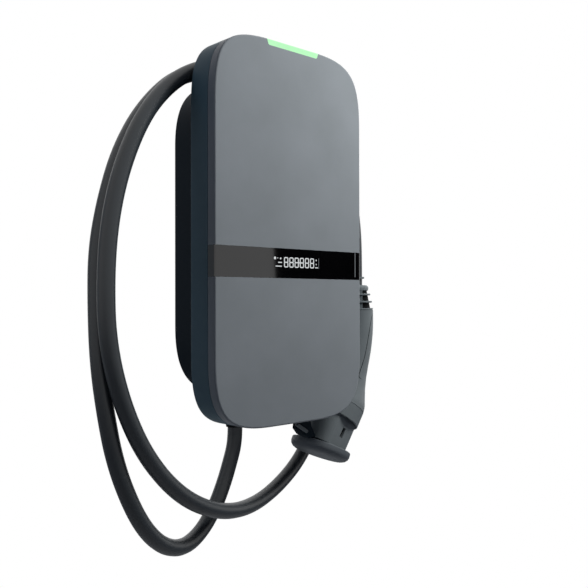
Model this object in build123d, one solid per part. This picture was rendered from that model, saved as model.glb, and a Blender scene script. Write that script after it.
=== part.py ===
from build123d import *
import os
from math import cos, pi, radians, sin, sqrt, tan

os.makedirs("parts", exist_ok=True)

# A wall-mounted charging box for electric cars, in millimetres.
# x runs to the right of someone who faces the box, y runs into the wall and z runs up.
# The origin is on the wall, in the middle of the four screw holes of the wall plate.

# The box
body_width = 207.0
body_height = 400.0
body_corner = 72.0            # how far a corner's curve reaches along each side
total_depth = 108.0
cover_depth = 11.2
seam_gap = 0.6
housing_depth = 28.7
wall = 3.0
cover_wall = 2.5
front_round = 1.8
rear_round = 1.2
fit_gap = 0.1                 # between moulded parts that slide together
overrun = 2.0                 # how far a cutting tool runs past the wall that it cuts

# The black drum at the back that carries the wound cable
drum_width = 155.0
drum_height = 352.0
drum_corner = 77.0
drum_back_recess = 5.0
drum_foot_round = 1.0
pad_thickness = 8.0           # level seat for gland and grommet under the drum

# The handles of a corner's curve, as shares of its reach
body_curve_share = 0.79
drum_curve_share = 0.71

# Small parts, as shares of the size that each is taken from
head_round_share = 1 / 3
hook_length_share = 3.0
catch_share = 0.25
antenna_height_share = 0.2
standoff_inset_share = 5.0
hook_play_share = 1 / 3
lock_room_share = 0.25
meter_drop_share = 6.0
core_window_share = 1 / 6
core_leg_share = 0.25
core_height_share = 2 / 3
core_depth_share = 1 / 3
side_place_share = 0.25
wire_depth_share = 1 / 3
cradle_share = 0.25
collar_round_share = 0.25
collar_seam_share = 1 / 3

# Places along the depth, from the wall to the front
front_y = -total_depth
seam_front_y = front_y + cover_depth
seam_rear_y = seam_front_y + seam_gap
housing_rear_y = seam_rear_y + housing_depth
housing_floor_y = housing_rear_y - wall
drum_floor_y = -drum_back_recess - wall

# Display band and its window
band_height = 31.0
band_centre_z = -31.0
band_thickness = 1.2
lcd_width = 72.0
lcd_height = 17.0
lcd_depth = 2.6
lcd_centre_x = 4.5
display_board_width = 96.0
display_board_height = 44.0
board_thickness = 1.6

# Status light in the top edge
light_top_width = 75.0
light_bottom_width = 69.0
light_height = 6.6
light_depth = 6.5
light_round = 2.2
led_board_width = 58.0
led_board_height = 9.0
led_size = 3.0
led_count = 6

# Wall plate
plate_width = 128.0
plate_height = 286.0
plate_thickness = 2.0
plate_corner = 12.0
plate_window_width = 62.0
plate_window_height = 170.0
wall_hole_spacing_x = 100.0
wall_hole_spacing_z = 240.0
wall_hole_radius = 3.25
hook_width = 18.0
hook_rise = 7.0
hook_x = 36.0
hook_top_z = 98.0
hook_bottom_z = -62.0
lock_screw_z = -118.0

# Screws
screw_radius = 1.5
screw_head_radius = 2.9
screw_head_height = 2.2
screw_length = 10.0
boss_radius = 4.2
drive_radius = 1.1
drive_depth = 1.3

# Boards and what they carry
power_board_width = 124.0
power_board_height = 236.0
power_board_z = 22.0
power_standoff = 12.0
control_board_width = 176.0
control_board_height = 112.0
control_board_z = 64.0
control_standoff = 15.0
relay_width = 27.0
relay_height = 34.0
relay_depth = 32.0
relay_pitch = 29.5
relay_z = 18.0
meter_width = 54.0
meter_height = 40.0
meter_depth = 18.0
transformer_width = 40.0
transformer_height = 34.0
transformer_depth = 30.0
sensor_radius = 23.0
sensor_bore = 12.0
sensor_length = 16.0
capacitor_radius = 8.0
capacitor_height = 25.0
choke_radius = 13.0
choke_bore = 6.0
choke_length = 12.0
socket_width = 16.0
socket_height = 21.5
socket_depth = 13.5
antenna_size = 52.0
antenna_depth = 1.0

# Supply terminal with one lever for each conductor
pole_count = 5
pole_pitch = 11.0
terminal_height = 34.0
terminal_depth = 27.0
terminal_z = -72.0
lever_width = 8.0
lever_length = 19.0
lever_thickness = 3.2
pivot_radius = 1.2
pivot_clearance = 0.2
lever_gap = 0.3
terminal_wire_radius = 3.2

# Cable, gland and strain relief
cable_radius = 8.25
gland_x = -21.0
gland_y = -34.0
gland_thread_radius = 12.5
gland_nut_radius = 15.5       # across the flats of the hexagon
gland_flange = 4.0
gland_dome = 9.0
locknut_thickness = 5.0
relief_length = 20.0
relief_tip_wall = 1.6
relief_rings = 3
tail_length = 34.0
clamp_width = 34.0
clamp_height = 12.0
grommet_x = 28.0
grommet_radius = 15.0
grommet_bore = 7.0

# Dock cup under the box, which holds the connector when it is parked
dock_room = 9.5               # from the housing's rear to the connector's axis
dock_y = housing_rear_y + dock_room
dock_lean = 34.0              # degrees from upright, leaning to the right
dock_base_radius = 34.5
dock_mid_radius = 38.5
dock_rim_radius = 37.4
dock_mid_height = 6.2
dock_height = 21.5
dock_wall = 2.6
dock_rib_count = 6
dock_rib_thickness = 2.0
arm_width = 18.0
arm_thickness = 11.0
arm_x = 54.5
arm_rise = 40.0               # the arm's top is hidden in the drum's corner, above its seat
arm_knee_z = -200.0

# Connector on the end of the cable
upright_x = 149.5
bend_end_z = -102.0
bend_radius = 166.0
bend_start = 62.0             # above the underside of the cup, along the axis
upright_length = 11.1
nose_radius = 28.0
nose_flat = 24.0              # from the axis to the flat side
nose_wall = 3.2
nose_start = 5.0              # above the underside of the cup
collar_start = 42.0
collar_radius = 30.6
collar_seam = 61.5
slot_width = 4.6
slot_length = 12.0
slot_start = 20.0
contact_radius = 4.6
contact_bore = 3.0
pilot_radius = 3.2
pilot_bore = 1.6
contact_length = 30.0
contact_circle = 15.5
contact_angles = (0, 180, 235, 305)
handle_wall = 2.6
handle_cap_length = 9.0
grip_depth = 1.8
handle_shares = ((0.0, 1.0), (0.06, 0.985), (0.218, 0.915), (0.412, 0.817), (0.594, 0.752), (0.776, 0.719),
                 (0.92, 0.705), (1.0, 0.7))
grip_shares = ((0.962, 1.2), (0.952, 0.4), (0.92, 0.27), (0.83, 0.10), (0.68, 0.07), (0.53, -0.02),
               (0.40, -0.13), (0.32, -0.06), (0.27, 0.3), (0.21, 1.3))
grip_end_shares = (0.34, 0.9)   # beyond these the edge of the grip runs round its ends

# Boot where the cable leaves the handle
cable_end_z = -41.0
boot_root_radius = 17.8
boot_tip_radius = 13.2
boot_neck_radius = 9.9
boot_cone_share = 0.61
boot_shoulder_radius = 15.6
shoulder_height = 7.0
shoulder_round = 3.4
boot_rings = ((0.175, 20.3), (0.41, 18.2))     # share of the boot's length, radius
ring_thickness = 2.2
web_width = 17.4
web_thickness = 0.7
web_turn = 47.2               # degrees
bend_share = 0.45             # of the shorter run next to a bend


def squircle(width, height, corner, curve_share):
    """A rectangle whose corners curve gently, as one face."""
    half_w, half_h = width / 2, height / 2
    near = corner * (1 - curve_share)
    edges = []
    ends = []
    for sx, sz in ((1, 1), (-1, 1), (-1, -1), (1, -1)):
        side = Vector(sx * half_w, sz * (half_h - corner))
        side_handle = Vector(sx * half_w, sz * (half_h - near))
        top_handle = Vector(sx * (half_w - near), sz * half_h)
        top = Vector(sx * (half_w - corner), sz * half_h)
        points = [side, side_handle, top_handle, top]
        if sx * sz < 0:
            points.reverse()
        edges.append(Bezier(*points))
        ends.append((points[0], points[-1]))
    for i in range(4):
        edges.append(Line(ends[i][1], ends[(i + 1) % 4][0]))
    return make_face(Curve() + edges)


def inset(width, height, corner, curve_share, by):
    """The same outline moved inwards, with a wall that stays even round the corners."""
    corner_share = (1 - sqrt(1 / 2)) * 8 / (4 - 3 * curve_share)
    return squircle(width - 2 * by, height - 2 * by, corner - corner_share * by, curve_share)


def body_face(by=0.0):
    """The outline of cover and housing, moved inwards."""
    return inset(body_width, body_height, body_corner, body_curve_share, by)


def drum_face(by=0.0):
    """The outline of the drum, moved inwards."""
    return inset(drum_width, drum_height, drum_corner, drum_curve_share, by)


def facing(y, x=0.0, z=0.0):
    """A plane at this depth that faces the room, with its own x to the right and y up."""
    return Plane(origin=(x, y, z), x_dir=(1, 0, 0), z_dir=(0, -1, 0))


def slab(face, rear, front):
    """A face drawn from the front, made solid between two depths."""
    return extrude(facing(rear) * face, rear - front)


def block(x, z, width, height, rear, front):
    """A rectangular piece by its middle, seen from the front, between two depths."""
    return slab(Pos(x, z) * Rectangle(width, height), rear, front)


def disc(x, z, radius, rear, front):
    """A round piece that points at the room."""
    return slab(Pos(x, z) * Circle(radius), rear, front)


def screw(x, z, seat, length):
    """A pan-head screw that is driven from the front and seats at this depth."""
    head = disc(x, z, screw_head_radius, seat, seat - screw_head_height)
    front_edge = head.edges().filter_by(GeomType.CIRCLE).sort_by(Axis.Y)[0]
    head = fillet(front_edge, screw_head_height * head_round_share)
    shank = disc(x, z, screw_radius, seat + length, seat)
    face = seat - screw_head_height
    drive = slab(Pos(x, z) * RegularPolygon(drive_radius, 6), face + drive_depth, face - overrun)
    return head + shank - drive


parts = {}


def keep(name, shape):
    """Store a finished piece under the name that it is written with."""
    parts[name] = shape


# Front cover with the groove for the display band and the notch for the light
cover_outer = slab(body_face(), seam_front_y, front_y)
cover_outer = fillet(cover_outer.faces().sort_by(Axis.Y)[0].edges(), front_round)
cover_inner = slab(body_face(cover_wall), seam_front_y + overrun, front_y + cover_wall)
band_zone = block(0, band_centre_z, body_width + 2 * overrun, band_height, seam_front_y, front_y - overrun)
groove_zone = block(0, band_centre_z, body_width + 2 * overrun, band_height + 2 * fit_gap,
                    seam_front_y + overrun, front_y - overrun)
band_seat = slab(body_face(band_thickness), seam_front_y + overrun,
                 front_y + band_thickness)
lcd_window = block(lcd_centre_x, band_centre_z, lcd_width + 2 * fit_gap, lcd_height + 2 * fit_gap,
                   front_y + cover_wall + overrun, front_y)

light_top_z = body_height / 2
light_low_z = light_top_z - light_height
light_outline = Polygon(
    (-light_bottom_width / 2, light_low_z), (light_bottom_width / 2, light_low_z),
    (light_top_width / 2, light_top_z + overrun), (-light_top_width / 2, light_top_z + overrun), align=None)
light_outline = fillet(light_outline.vertices().sort_by(Axis.Y)[:2], light_round)
light_back_y = front_y + light_depth
light_notch = slab(light_outline, light_back_y, front_y - overrun)

cover_bosses = []
boss_x = display_board_width / 2 - boss_radius
boss_z = display_board_height / 2 - boss_radius
board_front_y = front_y + band_thickness + lcd_depth
for sx in (-1, 1):
    for sz in (-1, 1):
        cover_bosses.append(disc(lcd_centre_x + sx * boss_x, band_centre_z + sz * boss_z, boss_radius,
                                 board_front_y, front_y + cover_wall))
light_shelf_z = light_low_z - light_height
light_shelf = block(0, light_shelf_z, led_board_width, cover_wall,
                    light_back_y + led_board_height, front_y + cover_wall)

cover_hook_x = body_width / 2 - cover_wall
cover_hooks = []
cover_hook_zs = [share * body_height for share in (-0.27, 0.0, 0.27)]
for sx in (-1, 1):
    for z in cover_hook_zs:
        hook = block(sx * (cover_hook_x - wall), z, wall, boss_radius * hook_length_share,
                     seam_rear_y + wall * 2, front_y + cover_wall)
        catch = block(sx * (cover_hook_x - wall + wall * catch_share), z, wall,
                      boss_radius * hook_length_share,
                      seam_rear_y + wall * 2, seam_rear_y + wall)
        cover_hooks.append(hook + catch)

front_cover = cover_outer - cover_inner - (groove_zone & cover_outer - band_seat) - lcd_window
front_cover = front_cover + cover_bosses + light_shelf + cover_hooks
front_cover = front_cover - light_notch
for sx in (-1, 1):
    for sz in (-1, 1):
        x, z = lcd_centre_x + sx * boss_x, band_centre_z + sz * boss_z
        front_cover = front_cover - disc(x, z, screw_radius, board_front_y + overrun, front_y + cover_wall)
keep("front_cover", front_cover)

display_band = (cover_outer & band_zone) - band_seat
keep("display_band", display_band)

status_light = cover_outer & light_notch
keep("status_light_guide", status_light)

led_board_y = light_back_y
led_board_z = light_low_z + light_height / 2
led_top_z = light_shelf_z + cover_wall / 2 + led_board_height
led_board_middle_z = light_shelf_z + cover_wall / 2 + led_board_height / 2
led_board = block(0, led_board_middle_z, led_board_width, led_board_height,
                  led_board_y + led_size / 2 + board_thickness, led_board_y + led_size / 2)
keep("led_board", led_board)
leds = []
for i in range(led_count):
    x = (i - (led_count - 1) / 2) * led_board_width / led_count
    led = block(x, led_board_z - led_size / 2, led_size, led_size, led_board_y + led_size / 2, led_board_y)
    leds.append(led)
keep("status_leds", Compound(children=leds))

lcd = block(lcd_centre_x, band_centre_z, lcd_width, lcd_height, board_front_y, front_y + band_thickness)
keep("lcd_module", lcd)

display_board = block(lcd_centre_x, band_centre_z, display_board_width, display_board_height,
                      board_front_y + board_thickness, board_front_y)
screws = []
for sx in (-1, 1):
    for sz in (-1, 1):
        x, z = lcd_centre_x + sx * boss_x, band_centre_z + sz * boss_z
        screw_hole = disc(x, z, screw_radius, board_front_y + board_thickness, board_front_y)
        display_board = display_board - screw_hole
        seat = board_front_y + board_thickness
        head = disc(x, z, screw_head_radius, seat + screw_head_height, seat)
        shank = disc(x, z, screw_radius, seat, front_y + cover_wall)
        slot = slab(Pos(x, z) * RegularPolygon(drive_radius, 6),
                    seat + screw_head_height, seat + screw_head_height - drive_depth)
        screws.append(head + shank - slot)
keep("display_board", display_board)
keep("display_screws", Compound(children=screws))

antenna_z = body_height * antenna_height_share
antenna_ring = Rectangle(antenna_size, antenna_size) - Rectangle(antenna_size / 2, antenna_size / 2)
antenna = slab(Pos(0, antenna_z) * antenna_ring, front_y + cover_wall + antenna_depth, front_y + cover_wall)
keep("card_reader_antenna", antenna)

# Seal in the seam between cover and housing
seal_setback = 0.9
seal_width = 1.6
seal_outer = body_face(seal_setback)
seal_inner = body_face(seal_setback + seal_width)
keep("cover_seal", slab(seal_outer - seal_inner, seam_rear_y, seam_front_y))

# Main housing, an open shell with a wide rim at the back
opening_inset = wall + 2 * boss_radius + wall / 2
rear_opening = drum_face(opening_inset)
housing = slab(body_face(), housing_rear_y, seam_rear_y)
housing = fillet(housing.faces().sort_by(Axis.Y)[-1].edges(), rear_round)
housing = housing - slab(body_face(wall), housing_floor_y, seam_rear_y - overrun)
housing = housing - slab(rear_opening, housing_rear_y + overrun, housing_floor_y - overrun)

# The screws that join housing and drum sit round the drum's rim
joint_shares = ((0.0, 1.0), (0.774, 0.906), (1.0, 0.36), (1.0, -0.36), (0.774, -0.906))
ring_w = drum_width / 2 - wall / 2 - boss_radius
ring_h = drum_height / 2 - wall / 2 - boss_radius
joint_points = []
for share_x, share_z in joint_shares:
    for sx in (1, -1):
        point = (round(sx * share_x * ring_w, 3), round(share_z * ring_h, 3))
        if point not in joint_points:
            joint_points.append(point)

drum_outer = slab(drum_face(), 0, housing_rear_y)
drum_outer = fillet(drum_outer.faces().sort_by(Axis.Y)[-1].edges(), drum_foot_round)
drum = drum_outer
drum_inside = slab(drum_face(wall), drum_floor_y, housing_rear_y - overrun)
drum = drum - drum_inside
drum = drum - slab(drum_face(wall), overrun, -drum_back_recess)
joint_bosses = []
for x, z in joint_points:
    joint_bosses.append(disc(x, z, boss_radius, drum_floor_y, housing_rear_y) & drum_outer)
drum = drum + joint_bosses

joint_screws = []
for x, z in joint_points:
    way = disc(x, z, screw_radius + fit_gap, housing_rear_y + overrun, housing_floor_y - overrun)
    housing = housing - way
    drum = drum - disc(x, z, screw_radius, housing_rear_y + screw_length, housing_rear_y - overrun)
    joint_screws.append(screw(x, z, housing_floor_y, screw_length))

# Standoffs for the power board grow from the drum's floor
power_front_y = drum_floor_y - power_standoff - board_thickness
power_rear_y = drum_floor_y - power_standoff
standoff_x = power_board_width / 2 - boss_radius - wall / 2
standoff_z = power_board_height / 2 - boss_radius - wall * standoff_inset_share
power_points = [(sx * standoff_x, power_board_z + sz * standoff_z) for sx in (-1, 1) for sz in (-1, 1)]
for x, z in power_points:
    drum = drum + disc(x, z, boss_radius, drum_floor_y, power_rear_y)
    drum = drum - disc(x, z, screw_radius, power_rear_y + screw_length - board_thickness,
                       power_rear_y - overrun)

# Slots through the drum's floor for the hooks of the wall plate
hook_points = [(sx * hook_x, z) for sx in (-1, 1) for z in (hook_top_z, hook_bottom_z)]
hook_slot_height = hook_rise + plate_thickness + wall
for x, z in hook_points:
    slot_mid = z - hook_slot_height / 2
    drum = drum - block(x, slot_mid, hook_width + 2 * wall * hook_play_share, hook_slot_height,
                        -drum_back_recess + overrun, drum_floor_y - overrun)

lock_hole = disc(0, lock_screw_z, screw_radius + fit_gap,
                 -drum_back_recess + overrun, drum_floor_y - overrun)
drum = drum - lock_hole

# Holes in the drum's underside for the gland and the supply grommet
gland_top_z = -drum_height / 2
gland_hole = Pos(gland_x, gland_y, gland_top_z) * Cylinder(gland_thread_radius, drum_corner / 2)
grommet_hole = Pos(grommet_x, gland_y, gland_top_z) * Cylinder(grommet_radius - wall, drum_corner / 2)
pad_middle = (gland_x + grommet_x) / 2
pad_width = grommet_x - gland_x + gland_nut_radius + grommet_radius + 2 * wall
pad_depth = 2 * gland_nut_radius + 2 * wall
pad = Pos(pad_middle, gland_y, gland_top_z) * Box(pad_width, pad_depth, pad_thickness,
                                                 align=(Align.CENTER, Align.CENTER, Align.MIN))
pad = fillet(pad.edges().filter_by(Axis.Z), wall)
drum = drum + pad - gland_hole - grommet_hole
inside_plane = Plane(origin=(0, 0, gland_top_z + pad_thickness), x_dir=(1, 0, 0), z_dir=(0, 0, 1))
locknut_room = Pos(gland_x, gland_y) * Circle(gland_nut_radius * 2 / sqrt(3) + fit_gap)
grommet_room = Pos(grommet_x, gland_y) * Circle(grommet_radius + fit_gap)
drum = drum - extrude(inside_plane * locknut_room, locknut_thickness)
drum = drum - extrude(inside_plane * grommet_room, wall)

keep("main_housing", housing)
keep("joint_screws", Compound(children=joint_screws))

# Wall plate with four hooks folded out of it
plate = RectangleRounded(plate_width, plate_height, plate_corner)
plate = plate - RectangleRounded(plate_window_width, plate_window_height, plate_corner)
wall_holes = [(sx * wall_hole_spacing_x / 2, sz * wall_hole_spacing_z / 2)
              for sx in (-1, 1) for sz in (-1, 1)]
for x, z in wall_holes:
    plate = plate - Pos(x, z) * Circle(wall_hole_radius)
plate = plate - Pos(0, lock_screw_z) * Circle(screw_radius)
wall_plate = slab(plate, 0, -plate_thickness)
for x, z in hook_points:
    tongue_front = drum_floor_y - fit_gap - plate_thickness
    leg = block(x, z - plate_thickness / 2, hook_width, plate_thickness, -plate_thickness / 2, tongue_front)
    lip = block(x, z + hook_rise / 2 - plate_thickness / 2, hook_width, hook_rise + plate_thickness,
                drum_floor_y - fit_gap, tongue_front)
    wall_plate = wall_plate + leg + lip
keep("wall_plate", wall_plate)
lock_screw_reach = -drum_floor_y - plate_thickness * lock_room_share
keep("plate_lock_screw", screw(0, lock_screw_z, drum_floor_y, lock_screw_reach))

# Power board and its parts
power_board = RectangleRounded(power_board_width, power_board_height, boss_radius)
power_board = slab(Pos(0, power_board_z) * power_board, power_rear_y, power_front_y)
board_screws = []
for x, z in power_points:
    power_board = power_board - disc(x, z, screw_radius + fit_gap, power_rear_y, power_front_y)
    board_screws.append(screw(x, z, power_front_y, screw_length - wall))
keep("power_board", power_board)

relay_names = ("relay_line_1", "relay_line_2", "relay_line_3", "relay_neutral")
for i, name in enumerate(relay_names):
    x = (i - (len(relay_names) - 1) / 2) * relay_pitch
    relay = block(x, relay_z, relay_width, relay_height, power_front_y, power_front_y - relay_depth)
    relay = fillet(relay.edges().filter_by(Axis.Y), front_round)
    rib = block(x, relay_z, relay_width / 2, wall / 2,
                power_front_y - relay_depth, power_front_y - relay_depth - board_thickness / 2)
    keep(name, relay + rib)

upper_z = power_board_z + power_board_height / 2
meter_z = upper_z - meter_height / 2 - meter_drop_share * boss_radius
meter_x = -power_board_width / 2 + meter_width / 2 + wall
meter = block(meter_x, meter_z, meter_width, meter_height, power_front_y, power_front_y - meter_depth)
meter = chamfer(meter.faces().sort_by(Axis.Y)[0].edges(), board_thickness)
keep("energy_meter_module", meter)

transformer_x = power_board_width / 2 - transformer_width / 2 - boss_radius * 2
transformer_z = meter_z
core_window = transformer_width * core_window_share
core = Rectangle(transformer_width, transformer_height)
for sx in (-1, 1):
    window = Rectangle(core_window, transformer_height * core_height_share)
    core = core - Pos(sx * transformer_width * core_leg_share, 0) * window
core_y = power_front_y - transformer_depth * core_depth_share
core = slab(Pos(transformer_x, transformer_z) * core, core_y, core_y - transformer_depth * core_depth_share)
keep("transformer_core", core)
coil_height = transformer_height * core_height_share
coil = block(transformer_x, transformer_z, transformer_width / 2 + core_window, coil_height,
             power_front_y, power_front_y - transformer_depth)
coil = coil - core
coil = coil - block(transformer_x, transformer_z, transformer_width / 2 - core_window, transformer_height,
                    core_y, core_y - transformer_depth * core_depth_share)
keep("transformer_coil", coil)

sensor_z = relay_z - relay_height / 2 - sensor_radius - wall
sensor_x = power_board_width * side_place_share
sensor_ring = Circle(sensor_radius) - Circle(sensor_bore)
sensor = slab(Pos(sensor_x, sensor_z) * sensor_ring, power_front_y, power_front_y - sensor_length)
sensor = chamfer(sensor.edges().filter_by(GeomType.CIRCLE).sort_by(Axis.Y)[:2], board_thickness / 2)
keep("residual_current_sensor", sensor)
choke_x = -power_board_width * side_place_share
choke = slab(Pos(choke_x, sensor_z) * (Circle(choke_radius) - Circle(choke_bore)), power_front_y,
             power_front_y - choke_length)
choke = fillet(choke.edges().filter_by(GeomType.CIRCLE).sort_by(Axis.Y)[:2], board_thickness)
keep("mains_filter_choke", choke)

capacitors = []
capacitor_pitch = capacitor_radius * 2 + wall
capacitor_z = relay_z + relay_height / 2 + capacitor_radius + wall
for i in range(3):
    x = (i - 1) * capacitor_pitch
    can = disc(x, capacitor_z, capacitor_radius, power_front_y, power_front_y - capacitor_height)
    can = fillet(can.edges().filter_by(GeomType.CIRCLE).sort_by(Axis.Y)[0], board_thickness)
    capacitors.append(can)
keep("capacitors", Compound(children=capacitors))

# Supply terminal: one moulded block, with a lever for each pole on a common rod
terminal_width = pole_count * pole_pitch + wall
terminal_x = -wall
terminal_front_y = power_front_y - terminal_depth
eye_radius = lever_thickness / 2 + pivot_radius
pivot_z = terminal_z + terminal_height / 2 - 2 * eye_radius
pivot_y = terminal_front_y + lever_thickness / 2
terminal = block(terminal_x, terminal_z, terminal_width, terminal_height, power_front_y, terminal_front_y)
terminal = chamfer(terminal.edges().filter_by(Axis.X).sort_by(Axis.Y)[:1], board_thickness / 2)
pole_xs = [terminal_x + (i - (pole_count - 1) / 2) * pole_pitch for i in range(pole_count)]
for x in pole_xs:
    slot_half = lever_width / 2 + lever_gap
    well_top = pivot_z + eye_radius + lever_gap
    well_low = pivot_z - lever_length - lever_gap
    terminal = terminal - block(x, (well_top + well_low) / 2, 2 * slot_half, well_top - well_low,
                                pivot_y + eye_radius + lever_gap, terminal_front_y - overrun)
    wire_hole = Pos(x, power_front_y - terminal_depth * wire_depth_share, terminal_z - terminal_height / 2)
    terminal = terminal - wire_hole * Cylinder(terminal_wire_radius, terminal_height)
rod_length = terminal_width
rod_place = Pos(terminal_x, pivot_y, pivot_z) * Rot(0, 90, 0)
terminal = terminal - rod_place * Cylinder(pivot_radius, rod_length + overrun)
keep("supply_terminal", terminal)
keep("terminal_pivot_rod", rod_place * Cylinder(pivot_radius, rod_length))
for i, x in enumerate(pole_xs):
    eye = Pos(x, pivot_y, pivot_z) * Rot(0, 90, 0) * Cylinder(eye_radius, lever_width)
    arm_z = pivot_z - lever_length / 2
    arm = block(x, arm_z, lever_width, lever_length,
                pivot_y + lever_thickness / 2, pivot_y - lever_thickness / 2)
    nose = block(x, pivot_z - lever_length + board_thickness, lever_width, board_thickness * 2,
                 pivot_y - lever_thickness / 2, pivot_y - lever_thickness)
    lever = eye + arm + nose
    lever = lever - Pos(x, pivot_y, pivot_z) * Rot(0, 90, 0) * Cylinder(pivot_radius + pivot_clearance,
                                                                       lever_width + overrun)
    keep(f"terminal_lever_{i + 1}", lever)

# Control board on four spacers
control_rear_y = housing_floor_y - control_standoff
control_front_y = control_rear_y - board_thickness
control_x = control_board_width / 2 - boss_radius - wall / 2
control_half_h = control_board_height / 2 - boss_radius - wall / 2
control_face = RectangleRounded(control_board_width, control_board_height, boss_radius)
control_board = slab(Pos(0, control_board_z) * control_face, control_rear_y, control_front_y)
spacers = []
for sx in (-1, 1):
    for sz in (-1, 1):
        x, z = sx * control_x, control_board_z + sz * control_half_h
        control_board = control_board - disc(x, z, screw_radius + fit_gap, control_rear_y, control_front_y)
        spacer = slab(Pos(x, z) * RegularPolygon(boss_radius, 6), housing_floor_y, control_rear_y)
        spacers.append(spacer - disc(x, z, screw_radius, control_rear_y + screw_length, control_rear_y))
        board_screws.append(screw(x, z, control_front_y, screw_length))
keep("control_board", control_board)
keep("board_spacers", Compound(children=spacers))
keep("board_screws", Compound(children=board_screws))

socket_z = control_board_z - control_board_height / 2 + socket_height / 2
socket = block(0, socket_z, socket_width, socket_height, control_rear_y + socket_depth, control_rear_y)
socket_mouth = block(0, socket_z - socket_height / 2, socket_width - wall, socket_height,
                     control_rear_y + socket_depth - wall / 2, control_rear_y + wall / 2)
keep("network_socket", socket - socket_mouth)

# Gland: a threaded body through the underside of the drum, locknut inside, dome nut and relief outside
gland_seat_z = gland_top_z
down = Plane(origin=(gland_x, gland_y, gland_seat_z), x_dir=(1, 0, 0), z_dir=(0, 0, -1))
flange = extrude(down * RegularPolygon(gland_nut_radius, 6, major_radius=False), gland_flange)
thread_top = pad_thickness + locknut_thickness + wall
gland_body = flange + extrude(down * Circle(gland_thread_radius), -thread_top)
gland_body = gland_body - Pos(gland_x, gland_y, gland_seat_z) * Cylinder(cable_radius, 3 * thread_top)
keep("gland_body", gland_body)

locknut_plane = down.offset(-pad_thickness)
locknut = RegularPolygon(gland_nut_radius, 6, major_radius=False) - Circle(gland_thread_radius)
locknut = extrude(locknut_plane * locknut, -locknut_thickness)
keep("gland_locknut", locknut)

nut_plane = down.offset(gland_flange)
dome = extrude(nut_plane * RegularPolygon(gland_nut_radius, 6, major_radius=False), gland_dome)
dome = chamfer(dome.faces().sort_by(Axis.Z)[0].edges(), board_thickness)
dome = dome - extrude(nut_plane * Circle(cable_radius), gland_dome)
keep("gland_dome_nut", dome)

relief_plane = nut_plane.offset(gland_dome)
relief_root_radius = gland_nut_radius - 2 * board_thickness
relief_tip_radius = cable_radius + relief_tip_wall
relief = loft([relief_plane * Circle(relief_root_radius),
               relief_plane.offset(relief_length) * Circle(relief_tip_radius)])
for i in range(relief_rings):
    share = (i + 1) / (relief_rings + 1)
    mid_radius = relief_root_radius + (relief_tip_radius - relief_root_radius) * share
    groove_plane = relief_plane.offset(relief_length * share - relief_tip_wall / 2)
    groove = Circle(relief_root_radius + overrun) - Circle(mid_radius - relief_tip_wall / 2)
    relief = relief - extrude(groove_plane * groove, relief_tip_wall)
relief = relief - extrude(relief_plane * Circle(cable_radius), relief_length)
keep("cable_strain_relief", relief)
exit_z = gland_seat_z - gland_flange - gland_dome - relief_length

# The sheathed end of the cable inside, held by a clamp on the drum's floor
tail_top_z = gland_seat_z + thread_top + tail_length
tail = Pos(gland_x, gland_y, exit_z) * Cylinder(cable_radius, tail_top_z - exit_z,
                                                align=(Align.CENTER, Align.CENTER, Align.MIN))
keep("cable_tail", tail)
clamp_z = gland_seat_z + thread_top + tail_length / 2
cradle_front_y = gland_y + cable_radius * cradle_share
saddle_front_y = gland_y - cable_radius - wall
clamp_screw_x = clamp_width / 2 - screw_head_radius
clamp_screw_length = screw_length + cradle_front_y - saddle_front_y
cradle = block(gland_x, clamp_z, clamp_width, clamp_height, drum_floor_y, cradle_front_y)
saddle = block(gland_x, clamp_z, clamp_width, clamp_height, cradle_front_y, saddle_front_y)
clamp_bore = Pos(gland_x, gland_y, clamp_z) * Cylinder(cable_radius, clamp_height + overrun)
cradle = cradle - clamp_bore
saddle = fillet(saddle.edges().filter_by(Axis.Z).group_by(Axis.Y)[0], front_round) - clamp_bore
clamp_screws = []
for sx in (-1, 1):
    x = gland_x + sx * clamp_screw_x
    saddle = saddle - disc(x, clamp_z, screw_radius, cradle_front_y, saddle_front_y - overrun)
    cradle = cradle - disc(x, clamp_z, screw_radius, saddle_front_y + clamp_screw_length, cradle_front_y)
    clamp_screws.append(screw(x, clamp_z, saddle_front_y, clamp_screw_length))
keep("cable_clamp_seat", cradle)
keep("cable_clamp_saddle", saddle)
keep("cable_clamp_screws", Compound(children=clamp_screws))

# Rubber grommet for the supply cable, open in the middle
grommet_plane = Plane(origin=(grommet_x, gland_y, gland_seat_z), x_dir=(1, 0, 0), z_dir=(0, 0, 1))
grommet = extrude(grommet_plane.offset(-wall / 2) * Circle(grommet_radius), wall / 2)
grommet = grommet + extrude(grommet_plane * Circle(grommet_radius - wall), pad_thickness)
grommet = grommet + extrude(grommet_plane.offset(pad_thickness) * Circle(grommet_radius), wall / 2)
grommet = grommet - extrude(grommet_plane.offset(-wall) * Circle(grommet_bore), pad_thickness + 2 * wall)
keep("supply_grommet", grommet)

# The connector's middle line: straight out of the cup, then a bend that ends upright
lean = radians(dock_lean)
axis = Vector(sin(lean), 0, cos(lean))
across = Vector(cos(lean), 0, -sin(lean))
bend_end = Vector(upright_x, dock_y, bend_end_z)
bend_centre = bend_end - Vector(bend_radius, 0, 0)
dock_centre = bend_centre + across * bend_radius - axis * bend_start


def along(distance):
    """A plane square to the connector's axis, this far above the underside of the cup."""
    return Plane(origin=dock_centre + axis * distance, x_dir=across, z_dir=axis)


def turned(points):
    """Turn a closed outline of radius and height about the connector's axis."""
    outline = make_face(Polyline(*points, close=True))
    section = Plane(origin=dock_centre, x_dir=across, z_dir=(0, -1, 0))
    return revolve(section * outline, Axis(dock_centre, axis))


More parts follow.
